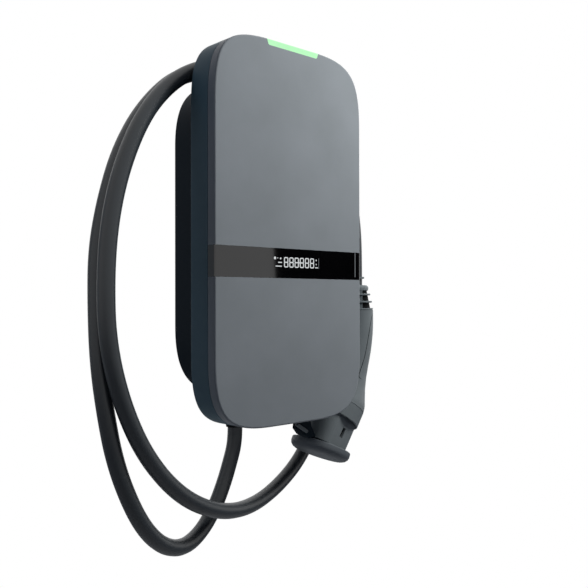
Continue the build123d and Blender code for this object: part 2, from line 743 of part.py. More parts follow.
# Dock cup with centring ribs inside and a hole that drains it
cup_outer = turned([(0, 0), (dock_base_radius, 0), (dock_mid_radius, dock_mid_height),
                    (dock_mid_radius, dock_mid_height + dock_wall), (dock_rim_radius, dock_height),
                    (0, dock_height)])
cup_inner = turned([(0, dock_wall), (dock_base_radius - dock_wall, dock_wall),
                    (dock_mid_radius - dock_wall, dock_mid_height + dock_wall),
                    (dock_rim_radius - dock_wall, dock_height + overrun), (0, dock_height + overrun)])
cup = cup_outer - cup_inner
rib_turn = 360 / dock_rib_count
for i in range(dock_rib_count):
    rib = Pos(dock_mid_radius / 2, 0) * Rectangle(dock_mid_radius, dock_rib_thickness)
    rib = Rot(0, 0, i * rib_turn) * rib
    rib = extrude(along(dock_wall / 2) * rib, dock_height - dock_wall)
    cup = cup + (rib & cup_outer)
cup = cup - extrude(along(nose_start) * Circle(nose_radius + lever_gap), dock_height)
cup = cup - extrude(along(-overrun) * Circle(dock_wall), nose_start + overrun)
keep("dock_cup", cup)

# Arm that carries the cup from the drum's rounded lower corner
arm_back_y = dock_y + arm_width / 2 + board_thickness
cup_left = dock_centre - across * (dock_mid_radius - dock_wall)
arm_rim = cup_left + axis * (dock_height - dock_wall)
arm_low = cup_left + axis * dock_mid_height
arm_top_z = gland_seat_z + arm_rise
arm_line = Polyline((arm_x - arm_thickness / 2, arm_top_z), (arm_x + arm_thickness / 2, arm_top_z),
                    (arm_x + arm_thickness / 2, arm_knee_z), (arm_rim.X, arm_rim.Z), (arm_low.X, arm_low.Z),
                    (arm_x - arm_thickness / 2, arm_knee_z - arm_thickness / 2), close=True)
arm_face = make_face(arm_line)
knees = arm_face.vertices().sort_by_distance(Vector(arm_x, arm_knee_z))[:2]
arm_face = fillet(knees, arm_thickness / 2)
arm = extrude(facing(arm_back_y) * arm_face, arm_width)
keep("dock_arm", arm - cup_outer - drum_outer)
keep("rear_drum", drum)


# Nose: a sleeve with one flat side and the slot that the car's lock drops into
def nose_outline(radius, flat):
    """A circle whose front side is cut flat."""
    return Circle(radius) & Pos(0, radius - flat) * Rectangle(2 * radius, 2 * radius)


nose_length = collar_seam - nose_start
nose_bore_radius = nose_radius - nose_wall
nose_bore_flat = nose_flat - nose_wall
nose = extrude(along(nose_start) * nose_outline(nose_radius, nose_flat), nose_length)
nose = chamfer(nose.faces().sort_by(Axis(dock_centre, axis))[0].edges(), board_thickness / 2)
nose_solid = nose
nose = nose - extrude(along(nose_start) * nose_outline(nose_bore_radius, nose_bore_flat), nose_length)
lock_slot = Pos(0, -nose_flat) * Rectangle(slot_width, 3 * nose_wall)
nose = nose - extrude(along(slot_start) * lock_slot, slot_length)
keep("connector_nose", nose)

carrier_start = nose_start + 2 * nose_wall
carrier_face = along(carrier_start) * nose_outline(nose_bore_radius, nose_bore_flat)
carrier = extrude(carrier_face, contact_length + nose_wall)
notch_face = along(slot_start) * Pos(0, -nose_bore_flat) * Rectangle(slot_width, nose_wall)
carrier = carrier - extrude(notch_face, slot_length)
contacts = []
contact_points = [(0, 0, contact_radius, contact_bore)]
for angle in contact_angles:
    contact_points.append((contact_circle * cos(radians(angle)), contact_circle * sin(radians(angle)),
                           contact_radius, contact_bore))
for side in (-1, 1):
    contact_points.append((side * contact_circle / 2, contact_circle, pilot_radius, pilot_bore))
for x, y, radius, bore in contact_points:
    carrier = carrier - extrude(along(carrier_start) * Pos(x, y) * Circle(radius), contact_length)
    sleeve = extrude(along(carrier_start + nose_wall) * Pos(x, y) * (Circle(radius) - Circle(bore)),
                     contact_length - nose_wall)
    contacts.append(sleeve)
keep("contact_carrier", carrier)
keep("power_contacts", Compound(children=contacts))

seal_start = collar_start + nose_wall
seal_ring = Circle(collar_radius - wall / 2) - nose_outline(nose_radius, nose_flat)
keep("nose_seal", extrude(along(seal_start) * seal_ring, seal_width))

collar_round = wall * collar_round_share
collar_step = wall * collar_seam_share
collar = turned([(nose_flat - nose_wall, seal_start + seal_width),
                 (collar_radius - wall / 2, seal_start + seal_width),
                 (collar_radius - wall / 2, collar_start),
                 (collar_radius - collar_round, collar_start), (collar_radius, collar_start + collar_round),
                 (collar_radius, collar_seam - seam_gap),
                 (collar_radius - collar_step, collar_seam - seam_gap),
                 (collar_radius - collar_step, collar_seam),
                 (nose_flat - nose_wall, collar_seam)])
keep("connector_collar", collar - nose_solid)

# Handle: round sections strung along the middle line, from the collar to the boot
straight_length = bend_start - collar_seam
bend_length = bend_radius * lean
handle_length = straight_length + bend_length + upright_length


def handle_plane(share):
    """A plane square to the handle's middle line, at a share of its length above the collar."""
    reach = share * handle_length
    if reach <= straight_length:
        return along(collar_seam + reach)
    if reach >= straight_length + bend_length:
        rise = reach - straight_length - bend_length
        return Plane(origin=bend_end + Vector(0, 0, rise), x_dir=(1, 0, 0), z_dir=(0, 0, 1))
    turn = lean * (1 - (reach - straight_length) / bend_length)
    out = Vector(cos(turn), 0, -sin(turn))
    return Plane(origin=bend_centre + out * bend_radius, x_dir=out, z_dir=Vector(sin(turn), 0, cos(turn)))


def handle_solid(shrink, shares):
    """The handle's form, thinner by this much all round."""
    sections = []
    for share, radius_share in shares:
        sections.append(handle_plane(share) * Circle(collar_radius * radius_share - shrink))
    return loft(sections)


handle_outer = handle_solid(0, handle_shares)
handle_core = handle_solid(grip_depth, handle_shares)
handle_cavity = handle_solid(grip_depth + handle_wall, handle_shares[:-1])
grip_reach = 2 * collar_radius


def grip_solid(grow):
    """A block that takes in the outer side of the handle, larger by this much all round."""
    points = []
    for share, radius_share in grip_shares:
        plane = handle_plane(share)
        end = (share > grip_end_shares[1]) - (share < grip_end_shares[0])
        point = plane.origin + plane.x_dir * (collar_radius * radius_share - grow) + plane.z_dir * end * grow
        points.append((point.X, point.Z))
    face = make_face(Curve() + [Spline(*points), Line(points[-1], points[0])])
    return extrude(facing(dock_y + grip_reach) * face, 2 * grip_reach)


grip_zone = grip_solid(0)
groove_zone = grip_solid(seam_gap)
top_plane = handle_plane(1)
keep("handle_grip", handle_outer & (grip_zone - handle_core))
handle = handle_outer - ((handle_outer & groove_zone) - handle_core)
handle = handle - handle_cavity
handle = handle - extrude(top_plane.offset(overrun) * Circle(cable_radius), -2 * handle_cap_length)
keep("connector_handle", handle)

# Boot: a black cone, with rubber rings and a web round it
boot_length = cable_end_z - top_plane.origin.Z
boot_cone_length = boot_cone_share * boot_length


def boot_plane(rise):
    """A plane square to the boot, this far above the handle."""
    return top_plane.offset(rise)


cone = loft([boot_plane(0) * Circle(boot_root_radius),
             boot_plane(boot_cone_length) * Circle(boot_tip_radius)])
cone = cone + extrude(boot_plane(boot_cone_length) * Circle(boot_neck_radius), boot_length - boot_cone_length
                      - ring_thickness)
cone = cone - extrude(boot_plane(0) * Circle(cable_radius), boot_length)
keep("boot_core", cone)
web = loft([boot_plane(0) * Circle(boot_root_radius + web_thickness),
            boot_plane(boot_cone_length) * Circle(boot_tip_radius + web_thickness)])
web_zone = Rot(0, 0, -web_turn) * Rectangle(web_width, 4 * boot_root_radius)
web = web & extrude(boot_plane(0) * web_zone, boot_length)
boot = web
for rise_share, radius in boot_rings:
    boot = boot + extrude(boot_plane(rise_share * boot_length) * Circle(radius), ring_thickness)
shoulder_base = boot_plane(boot_cone_length - shoulder_height / 2)
shoulder = extrude(shoulder_base * Circle(boot_shoulder_radius), shoulder_height)
shoulder = fillet(shoulder.edges().group_by(Axis.Z)[-1], shoulder_round)
boot = boot + shoulder - cone - extrude(boot_plane(0) * Circle(cable_radius), boot_length)
keep("connector_boot", boot)
end_ring = Circle(boot_neck_radius + relief_tip_wall / 2) - Circle(cable_radius)
keep("boot_end_ring", extrude(boot_plane(boot_length - ring_thickness) * end_ring, ring_thickness))
inner_tail = extrude(boot_plane(boot_length) * Circle(cable_radius), -boot_length - 2 * handle_cap_length)
keep("connector_cable_tail", inner_tail)

# The charging cable: hung over the drum twice, then up and over once more into the boot
cable_route = [
    (-21.0, -34.0, -209.0), (-21.0, -34.0, -226.0), (-26.5, -32.0, -248.0), (-34.5, -31.0, -271.0),
    (-49.0, -33.0, -296.0), (-73.0, -41.0, -315.0), (-102.0, -53.0, -321.0), (-131.0, -64.0, -312.0),
    (-156.0, -71.0, -291.0), (-176.0, -75.0, -260.0), (-193.0, -76.0, -218.0), (-202.0, -75.0, -173.0),
    (-208.0, -73.0, -125.0), (-209.0, -71.0, -73.0), (-207.0, -68.0, -23.0), (-195.0, -62.0, 24.0),
    (-173.0, -53.0, 72.0), (-138.0, -41.0, 118.0), (-89.0, -27.0, 163.0), (-34.0, -16.0, 185.0),
    (34.0, -14.0, 185.0), (92.0, -12.0, 164.0), (132.0, -11.0, 114.0), (149.0, -10.0, 50.0),
    (154.0, -10.0, -20.0), (152.0, -10.0, -92.0), (146.0, -10.0, -162.0), (130.0, -10.0, -220.0),
    (100.0, -11.0, -265.0), (50.0, -24.0, -290.0), (-8.0, -45.0, -299.0), (-68.0, -69.0, -289.0),
    (-123.0, -82.0, -262.0), (-166.0, -88.0, -218.0), (-193.0, -90.0, -166.0), (-209.0, -91.0, -108.0),
    (-211.0, -91.0, -50.0), (-205.0, -88.0, 4.0), (-187.0, -81.0, 55.0), (-156.0, -71.0, 107.0),
    (-114.0, -59.0, 146.0), (-72.0, -50.0, 169.0), (-28.0, -45.0, 185.0), (34.0, -45.0, 185.0),
    (88.0, -47.0, 168.0), (122.0, -51.0, 128.0), (140.0, -55.0, 78.0), (148.0, -57.0, 26.0),
    (149.5, -58.0, -8.0), (149.5, -58.0, -41.0),
]
route = [Vector(*point) for point in cable_route]
bend_radii = []
for before, here, after in zip(route, route[1:], route[2:]):
    shorter = min((here - before).length, (after - here).length)
    half_turn = radians((here - before).get_angle(after - here)) / 2
    bend_radii.append(bend_share * shorter / tan(half_turn))
cable_line = FilletPolyline(*route, radius=bend_radii)
cable_section = Plane(origin=route[0], z_dir=route[1] - route[0]) * Circle(cable_radius)
cable = sweep(cable_section, path=cable_line)
keep("charging_cable", cable)
print("smallest bend radii", [round(radius) for radius in sorted(bend_radii)[:6]])
print("cable length", round(cable_line.length, 1), "volume share",
      round(cable.volume / (cable_line.length * pi * cable_radius ** 2), 4))

for name, shape in parts.items():
    export_step(shape, f"parts/{name}.step")
    print(name, round(shape.volume, 1))
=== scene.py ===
# %% [markdown]
# # A wall box that charges electric cars
# The box hangs on a wall. A cable is wound over the black drum behind it, and the
# connector on its end is parked in a cup below the box. The solids come from the packed
# frame, which carries every real size. Blender adds the cable's true curve, the skins round
# the parked connector, the lit signs on the black window, the finishes, the camera and the
# light.

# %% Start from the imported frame
import math

import bmesh
import bpy
from mathutils import Matrix, Vector
from mathutils.geometry import interpolate_bezier


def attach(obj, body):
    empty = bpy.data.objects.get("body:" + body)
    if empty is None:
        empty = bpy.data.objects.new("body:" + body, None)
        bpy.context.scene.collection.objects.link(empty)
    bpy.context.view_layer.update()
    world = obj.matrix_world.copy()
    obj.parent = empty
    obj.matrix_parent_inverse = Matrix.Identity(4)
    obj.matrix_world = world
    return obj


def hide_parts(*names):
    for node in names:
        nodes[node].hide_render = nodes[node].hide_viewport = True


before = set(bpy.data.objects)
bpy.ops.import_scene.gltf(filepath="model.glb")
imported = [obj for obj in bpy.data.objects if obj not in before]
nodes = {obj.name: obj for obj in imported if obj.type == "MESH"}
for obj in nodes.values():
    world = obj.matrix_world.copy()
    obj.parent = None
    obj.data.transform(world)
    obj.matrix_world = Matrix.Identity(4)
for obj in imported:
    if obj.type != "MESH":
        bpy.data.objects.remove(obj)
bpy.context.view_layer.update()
scene = bpy.context.scene
print("nodes in the frame:", len(nodes))

# %% [markdown]
# ## Units and colours
# The frame is in metres, and the sizes written in this script are in millimetres, so one factor
# turns one into the other. Paint and plastic colours are written as sRGB hex values, as a
# colour picker shows them. Blender's shaders work in linear light, so one function turns
# each value.

# %% Millimetres and colours
MM = 0.001


def linear(hex_colour):
    """An sRGB hex value as linear red, green, blue and alpha, by the curve of the sRGB standard."""
    channels = []
    for start in (1, 3, 5):
        value = int(hex_colour[start:start + 2], 16) / 255
        channels.append(value / 12.92 if value <= 0.04045 else ((value + 0.055) / 1.055) ** 2.4)
    return (*channels, 1.0)


print("middle grey as linear light:", round(linear("#808080")[0], 3))

# %% [markdown]
# ## Where the viewer stands
# The photograph is taken from the left of the box and a little below its middle. The
# camera's place and its focal length were worked out from the corners of the box, and they
# are the one view in which each edge falls where the photograph has it. The focal length
# is 760 pixels for a frame that is 588 pixels wide.

# %% Camera
FRAME_PIXELS = 588
FOCAL_PIXELS = 760
SENSOR_MM = 36
CAMERA_PLACE = Vector((-542.96, -699.64, -69.08)) * MM
CAMERA_YAW = 0.7427
CAMERA_PITCH = 0.0076
CAMERA_ROLL = -0.0018
NEAREST_SEEN, FARTHEST_SEEN = 0.05, 50

camera_data = bpy.data.cameras.new("viewer")
camera_data.sensor_width = SENSOR_MM
camera_data.lens = SENSOR_MM * FOCAL_PIXELS / FRAME_PIXELS
camera_data.clip_start = NEAREST_SEEN
camera_data.clip_end = FARTHEST_SEEN
camera = bpy.data.objects.new("viewer", camera_data)
scene.collection.objects.link(camera)
turn = Matrix.Rotation(-CAMERA_YAW, 4, "Z") @ Matrix.Rotation(math.pi / 2 + CAMERA_PITCH, 4, "X")
camera.matrix_world = Matrix.Translation(CAMERA_PLACE) @ turn @ Matrix.Rotation(CAMERA_ROLL, 4, "Z")
scene.camera = camera
print("lens in mm:", round(camera_data.lens, 2))

# %% [markdown]
# ## Nodes for the finishes
# Every finish is a small graph of nodes. One helper adds a node, sets its values and links
# its inputs, so that each graph below reads as a short list. The other starts a material
# whose pattern hangs on the piece itself, in real size, and not on the view.

# %% Helpers for finishes
def add(tree, kind, settings=None, **inputs):
    """Add one node: settings are its own values, inputs are numbers, colours or sockets."""
    node = tree.nodes.new(kind)
    for name, value in (settings or {}).items():
        setattr(node, name, value)
    for name, value in inputs.items():
        socket = node.inputs[name.replace("_", " ")]
        if isinstance(value, bpy.types.NodeSocket):
            tree.links.new(value, socket)
        else:
            socket.default_value = value
    return node


def new_finish(name):
    """A material with an empty graph, its surface shader and its object coordinates."""
    finish = bpy.data.materials.new(name)
    finish.use_nodes = True
    tree = finish.node_tree
    tree.nodes.clear()
    shader = tree.nodes.new("ShaderNodeBsdfPrincipled")
    output = tree.nodes.new("ShaderNodeOutputMaterial")
    tree.links.new(shader.outputs["BSDF"], output.inputs["Surface"])
    place = tree.nodes.new("ShaderNodeTexCoord").outputs["Object"]
    return finish, tree, shader, place


print("helpers ready:", add.__name__, "and", new_finish.__name__)

# %% [markdown]
# ## Moulded plastic
# Cover, housing, drum and connector are injection moulded. A steel mould is spark eroded,
# which leaves a fine grain on each part. The grain scatters light, so the gloss is soft
# and wide. The real grain is about a tenth of a millimetre, which is finer than a pixel
# here, so it is drawn several times coarser. A second, slow noise gives the faint clouds
# that pigment and wall thickness leave in a large moulding.

# %% Function for grained plastic
PLASTIC_IOR = 1.49
GRAIN_SHARE = 0.35
SHADE_START = 0.35
GRAIN_STRENGTH = 0.6
GLOSS_SPREAD = 0.05


def grained_plastic(name, dark, light, roughness, grain_mm, grain_depth_mm, cloud_mm=60, mirror=0.3):
    """A moulded plastic between two close shades, with spark-eroded grain."""
    finish, tree, shader, place = new_finish(name)
    clouds = add(tree, "ShaderNodeTexNoise", Vector=place, Scale=1 / (cloud_mm * MM), Detail=3.0)
    grain = add(tree, "ShaderNodeTexNoise", Vector=place, Scale=1 / (grain_mm * MM), Detail=2.0)
    speck = add(tree, "ShaderNodeMath", {"operation": "MULTIPLY_ADD"})
    tree.links.new(grain.outputs["Fac"], speck.inputs[0])
    speck.inputs[1].default_value = GRAIN_SHARE
    tree.links.new(clouds.outputs["Fac"], speck.inputs[2])
    shade = add(tree, "ShaderNodeValToRGB", Fac=speck.outputs[0])
    shade.color_ramp.elements[0].position = SHADE_START
    shade.color_ramp.elements[0].color = linear(dark)
    shade.color_ramp.elements[1].position = 1.0
    shade.color_ramp.elements[1].color = linear(light)
    gloss = add(tree, "ShaderNodeMapRange", Value=grain.outputs["Fac"])
    gloss.inputs["To Min"].default_value = roughness - GLOSS_SPREAD
    gloss.inputs["To Max"].default_value = roughness + GLOSS_SPREAD
    bump = add(tree, "ShaderNodeBump", Height=grain.outputs["Fac"], Distance=grain_depth_mm * MM,
               Strength=GRAIN_STRENGTH)
    tree.links.new(shade.outputs["Color"], shader.inputs["Base Color"])
    tree.links.new(gloss.outputs["Result"], shader.inputs["Roughness"])
    tree.links.new(bump.outputs["Normal"], shader.inputs["Normal"])
    shader.inputs["IOR"].default_value = PLASTIC_IOR
    shader.inputs["Specular IOR Level"].default_value = mirror
    return finish


# %% Plastics of the box
# A lower mirror value is for the parts that look nearly dull.
cover_plastic = grained_plastic("painted_polycarbonate_anthracite", "#72777B", "#7C8186", 0.42, 0.7, 0.03,
                                mirror=0.2)
housing_plastic = grained_plastic("moulded_polycarbonate_slate", "#4C626B", "#566C75", 0.46, 0.7, 0.04,
                                  mirror=0.08)
drum_plastic = grained_plastic("moulded_polycarbonate_black", "#0E1820", "#131F28", 0.55, 0.8, 0.05,
                               mirror=0.06)
connector_plastic = grained_plastic("moulded_nylon_grey", "#5C6265", "#666C6F", 0.5, 0.8, 0.05, 30)
cup_plastic = grained_plastic("moulded_nylon_dark_grey", "#54595D", "#5E6367", 0.5, 0.8, 0.05, 30)
grip_rubber = grained_plastic("soft_grip_elastomer_grey", "#575D60", "#606669", 0.62, 0.6, 0.05, 20)
relief_rubber = grained_plastic("moulded_rubber_black", "#0B0C0D", "#121415", 0.6, 0.8, 0.05, 20,
                                mirror=0.05)
contact_plastic = grained_plastic("glass_filled_nylon_black", "#17191B", "#1F2224", 0.5, 0.5, 0.03, 20)
module_plastic = grained_plastic("moulded_nylon_light_grey", "#A5A9AC", "#AFB3B6", 0.45, 0.6, 0.03, 20)
relay_plastic = grained_plastic("moulded_polyester_black", "#1A1C1E", "#232629", 0.4, 0.6, 0.03, 20)
lever_plastic = grained_plastic("moulded_nylon_orange", "#D8641C", "#E4701F", 0.4, 0.6, 0.03, 20)
ferrite_coat = grained_plastic("epoxy_coated_ferrite_green", "#3E5B44", "#496950", 0.5, 0.8, 0.04, 20)
board_lacquer = grained_plastic("solder_lacquer_green", "#1D5A34", "#23683D", 0.3, 1.2, 0.02, 12)
print("materials in the file, with the plastics:", len(bpy.data.materials))

# %% [markdown]
# ## Black window and milky light
# The band across the front is a strip of black acrylic, polished in the mould. It is
# smooth, so it mirrors the room weakly, as glass does. The status light in the top edge is
# a milky diffuser with diodes behind it, and it glows almost evenly.

# %% Function for polished acrylic
ACRYLIC_IOR = 1.6
WAVE_MM = 45
WAVE_DEPTH_MM = 0.01
WAVE_STRENGTH = 0.3
WINDOW_ROUGHNESS = 0.04


def polished_acrylic(name, dark, light):
    """Clear gloss over black, with faint moulding waves."""
    finish, tree, shader, place = new_finish(name)
    waves = add(tree, "ShaderNodeTexNoise", Vector=place, Scale=1 / (WAVE_MM * MM), Detail=1.0)
    tint = add(tree, "ShaderNodeValToRGB", Fac=waves.outputs["Fac"])
    tint.color_ramp.elements[0].color = linear(dark)
    tint.color_ramp.elements[1].color = linear(light)
    tree.links.new(tint.outputs["Color"], shader.inputs["Base Color"])
    bump = add(tree, "ShaderNodeBump", Height=waves.outputs["Fac"], Distance=WAVE_DEPTH_MM * MM,
               Strength=WAVE_STRENGTH)
    tree.links.new(bump.outputs["Normal"], shader.inputs["Normal"])
    shader.inputs["Roughness"].default_value = WINDOW_ROUGHNESS
    shader.inputs["IOR"].default_value = ACRYLIC_IOR
    return finish


# %% Function for lit plastic
MOTTLE_LOW, MOTTLE_HIGH = 0.93, 1.05
DIFFUSER_ROUGHNESS = 0.35
DIFFUSER_UNLIT = "#202422"


def glowing(name, colour, strength, mottle_mm):
    """A glowing surface with slight unevenness: backlit plastic, the dim screen, and the painted highlight
    on the band's edge.
    """
    finish, tree, shader, place = new_finish(name)
    cloud = add(tree, "ShaderNodeTexNoise", Vector=place, Scale=1 / (mottle_mm * MM), Detail=1.0)
    level = add(tree, "ShaderNodeMapRange", Value=cloud.outputs["Fac"])
    level.inputs["To Min"].default_value = strength * MOTTLE_LOW
    level.inputs["To Max"].default_value = strength * MOTTLE_HIGH
    tree.links.new(level.outputs["Result"], shader.inputs["Emission Strength"])
    shader.inputs["Emission Color"].default_value = linear(colour)
    shader.inputs["Base Color"].default_value = linear(DIFFUSER_UNLIT)
    shader.inputs["Roughness"].default_value = DIFFUSER_ROUGHNESS
    shader.inputs["IOR"].default_value = PLASTIC_IOR
    return finish


# %% Window, diffuser and signs
window_acrylic = polished_acrylic("polished_acrylic_black", "#020203", "#060607")
light_diffuser = glowing("opal_acrylic_lit_mint", "#B9FFC0", 0.92, 14)
sign_glow = glowing("lit_display_segments", "#E4E8EA", 0.8, 6)
# The dim glow serves a line of the display and a painted highlight on the band's right edge.
dim_line_and_painted_highlight = glowing("dim_display_line_and_painted_highlight", "#A9AFB4", 0.5, 6)
print("materials in the file, with window, diffuser and signs:", len(bpy.data.materials))

# %% [markdown]
# ## Metals
# Screws are zinc plated, the wall plate is galvanised sheet, and the connector's contacts
# are silver plated. A metal takes its colour from its reflection, so the graph sets a
# metallic surface and lets fine brushing or crystal patches vary the roughness.

# %% Function for metal
PATCH_SPREAD = 0.08


def plated_metal(name, dark, light, roughness, patch_mm, stretch=(1, 1, 1)):
    """Bare or plated metal with patches, or with brushing if stretched."""
    finish, tree, shader, place = new_finish(name)
    grid = add(tree, "ShaderNodeMapping", Vector=place, Scale=stretch)
    patch = add(tree, "ShaderNodeTexNoise", Vector=grid.outputs["Vector"], Scale=1 / (patch_mm * MM),
                Detail=4.0)
    shade = add(tree, "ShaderNodeValToRGB", Fac=patch.outputs["Fac"])
    shade.color_ramp.elements[0].color = linear(dark)
    shade.color_ramp.elements[1].color = linear(light)
    level = add(tree, "ShaderNodeMapRange", Value=patch.outputs["Fac"])
    level.inputs["To Min"].default_value = roughness - PATCH_SPREAD
    level.inputs["To Max"].default_value = roughness + PATCH_SPREAD
    tree.links.new(shade.outputs["Color"], shader.inputs["Base Color"])
    tree.links.new(level.outputs["Result"], shader.inputs["Roughness"])
    shader.inputs["Metallic"].default_value = 1.0
    return finish


# %% Metals of the box
zinc_screw = plated_metal("zinc_plated_steel", "#B4B8BC", "#CED2D5", 0.35, 2)
galvanised = plated_metal("galvanised_steel_sheet", "#A3A8AB", "#BFC3C6", 0.42, 9)
core_steel = plated_metal("laminated_silicon_steel", "#6F7274", "#8B8E90", 0.4, 0.5, (1, 6, 1))
copper = plated_metal("enamelled_copper_wire", "#A3552B", "#BF6D3C", 0.35, 0.6, (1, 1, 8))
silver_contact = plated_metal("silver_plated_brass", "#C9C6BE", "#DEDBD3", 0.28, 1.5)
tinned = plated_metal("tinned_steel_shell", "#BFC1C3", "#D3D5D7", 0.3, 3)
print("materials in the file, with the metals:", len(bpy.data.materials))

# %% [markdown]
# ## Cable sheath
# The cable is sheathed in black polyurethane, extruded in one run. The sheath is satin,
# and the twisted cores below it show as a very slight waviness.

# %% Sheath finish
CORE_LAY_MM = 26
SKIN_GRAIN_MM = 0.9
SKIN_SHARE = 0.1
SHEATH_DEPTH_MM = 0.25
SHEATH_STRENGTH = 0.5
SHEATH_ROUGHNESS = 0.4


def extruded_sheath(name, dark, light):
    """Satin black sheath with a trace of the cores' twist."""
    finish, tree, shader, place = new_finish(name)
    lay = add(tree, "ShaderNodeTexNoise", Vector=place, Scale=1 / (CORE_LAY_MM * MM), Detail=2.0)
    skin = add(tree, "ShaderNodeTexNoise", Vector=place, Scale=1 / (SKIN_GRAIN_MM * MM), Detail=2.0)
    shade = add(tree, "ShaderNodeValToRGB", Fac=lay.outputs["Fac"])
    shade.color_ramp.elements[0].color = linear(dark)
    shade.color_ramp.elements[1].color = linear(light)
    height = add(tree, "ShaderNodeMath", {"operation": "MULTIPLY_ADD"})
    tree.links.new(skin.outputs["Fac"], height.inputs[0])
    height.inputs[1].default_value = SKIN_SHARE
    tree.links.new(lay.outputs["Fac"], height.inputs[2])
    bump = add(tree, "ShaderNodeBump", Height=height.outputs[0], Distance=SHEATH_DEPTH_MM * MM,
               Strength=SHEATH_STRENGTH)
    tree.links.new(shade.outputs["Color"], shader.inputs["Base Color"])
    tree.links.new(bump.outputs["Normal"], shader.inputs["Normal"])
    shader.inputs["Roughness"].default_value = SHEATH_ROUGHNESS
    shader.inputs["IOR"].default_value = PLASTIC_IOR
    return finish


sheath = extruded_sheath("extruded_polyurethane_black", "#212529", "#272C30")
print("sheath made:", sheath.name)

# %% [markdown]
# ## The cable
# The cable is one curve. It leaves the gland under the drum, hangs down to the left, goes
# up and over the drum, hangs in a second loop, goes over the drum again and comes down on
# the right into the connector. Its points are those of the solid, but a few at the upper
# left are moved outwards by some millimetres, where the photograph shows the loop wider. A
# NURBS curve that rounds them has the calm line of a stiff cable. A tube is swept along it
# by the curve's own bevel.

# %% Route of the cable
CABLE_RADIUS = 8.25 * MM
CABLE_ROUTE = [
    (-21, -34, -209), (-21, -34, -226), (-26.5, -32, -248), (-34.5, -31, -271),
    (-49, -33, -296), (-73, -41, -315), (-102, -53, -321), (-131, -64, -312),
    (-156, -71, -291), (-176, -75, -260), (-193, -76, -218), (-202, -75, -173),
    (-208, -73, -125), (-209, -71, -73), (-207, -68, -23), (-195, -62, 24),
    (-175, -53, 74), (-142, -41, 123), (-93, -27, 168), (-34, -16, 186),
    (34, -14, 185), (92, -12, 164), (132, -11, 114), (149, -10, 50),
    (154, -10, -20), (152, -10, -92), (146, -10, -162), (130, -10, -220),
    (100, -11, -265), (50, -24, -290), (-8, -45, -299), (-68, -69, -289),
    (-123, -82, -262), (-166, -88, -218), (-193, -90, -166), (-209, -91, -108),
    (-211, -91, -50), (-205, -88, 4), (-188, -81, 57), (-159, -71, 110),
    (-119, -59, 151), (-76, -50, 175), (-28, -45, 186), (34, -45, 185),
    (88, -47, 168), (122, -51, 128), (140, -55, 78), (148, -57, 26),
    (149.5, -58, -8), (149.5, -58, -41),
]
print("points in the cable's route:", len(CABLE_ROUTE))

# %% Cable curve
cable_data = bpy.data.curves.new("cable_line", "CURVE")
cable_data.dimensions = "3D"
cable_spline = cable_data.splines.new("NURBS")
cable_spline.points.add(len(CABLE_ROUTE) - 1)
for point, place in zip(cable_spline.points, CABLE_ROUTE):
    point.co = (*(Vector(place) * MM), 1)
cable_spline.order_u = 3
cable_spline.use_endpoint_u = True
cable_spline.resolution_u = 8
cable_data.bevel_depth = CABLE_RADIUS
cable_data.bevel_resolution = 6
cable_data.use_fill_caps = True
cable = bpy.data.objects.new("charging_cable_curve", cable_data)
scene.collection.objects.link(cable)
cable_data.materials.append(sheath)
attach(cable, "wallbox")
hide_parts("charging_cable")
print("cable thickness in mm:", 2 * CABLE_RADIUS / MM)

# %% [markdown]
# ## Finishes on the frame's parts
# Each solid of the frame gets the finish of the real part, but the dock arm gets the near-black drum
# plastic as painted shade. Their meshes are not touched.
# Only the shading changes: faces that meet at a shallow angle are shaded as one smooth
# skin, and real edges stay crisp.

# %% Hand the finishes out
FINISHES = {
    cover_plastic: ["front_cover"],
    housing_plastic: ["main_housing"],
    # dock_arm gets the black drum plastic as painted shade, for the deep shadow beside the nose.
    drum_plastic: ["rear_drum", "dock_arm", "gland_body", "gland_locknut", "gland_dome_nut",
                   "cable_clamp_seat", "cable_clamp_saddle"],
    window_acrylic: ["display_band", "lcd_module"],
    light_diffuser: ["status_light_guide", "status_leds"],
    board_lacquer: ["led_board", "display_board", "power_board", "control_board"],
    copper: ["card_reader_antenna", "transformer_coil"],
    silver_contact: ["power_contacts"],
    zinc_screw: ["display_screws", "joint_screws", "plate_lock_screw", "board_screws",
                 "cable_clamp_screws", "board_spacers", "terminal_pivot_rod"],
    galvanised: ["wall_plate"],
    core_steel: ["transformer_core"],
    relay_plastic: ["relay_line_1", "relay_line_2", "relay_line_3", "relay_neutral", "capacitors",
                    "residual_current_sensor"],
    ferrite_coat: ["mains_filter_choke"],
    module_plastic: ["energy_meter_module", "supply_terminal"],
    lever_plastic: [f"terminal_lever_{i}" for i in range(1, 6)],
    tinned: ["network_socket"],
    relief_rubber: ["cover_seal", "nose_seal", "supply_grommet", "cable_strain_relief", "boot_core"],
    sheath: ["cable_tail", "connector_cable_tail", "charging_cable"],
    connector_plastic: ["connector_nose", "connector_collar", "connector_handle", "boot_end_ring",
                        "connector_boot"],
    grip_rubber: ["handle_grip"],
    contact_plastic: ["contact_carrier"],
    cup_plastic: ["dock_cup"],
}
SMOOTH_ANGLE = math.radians(28)
finished = set()
for finish, names in FINISHES.items():
    for name in names:
        mesh = nodes[name].data
        mesh.materials.clear()
        mesh.materials.append(finish)
        mesh.shade_smooth()
        mesh.set_sharp_from_angle(angle=SMOOTH_ANGLE)
        finished.add(name)
print("nodes without a finish:", sorted(set(nodes) - finished))

# %% [markdown]
# ## Shells that are turned or swept
# The parking dish, the handle's skin and the boot are round forms. Each is a row of rings
# strung along a middle line, with faces between neighbours. Where the middle line is
# straight, this is what a lathe does; where it bends, it is a sweep. The dish's arm and
# the boot's web are made the same way, from loops with corners.

# %% Functions that string loops and rings
RING_SIDES = 72


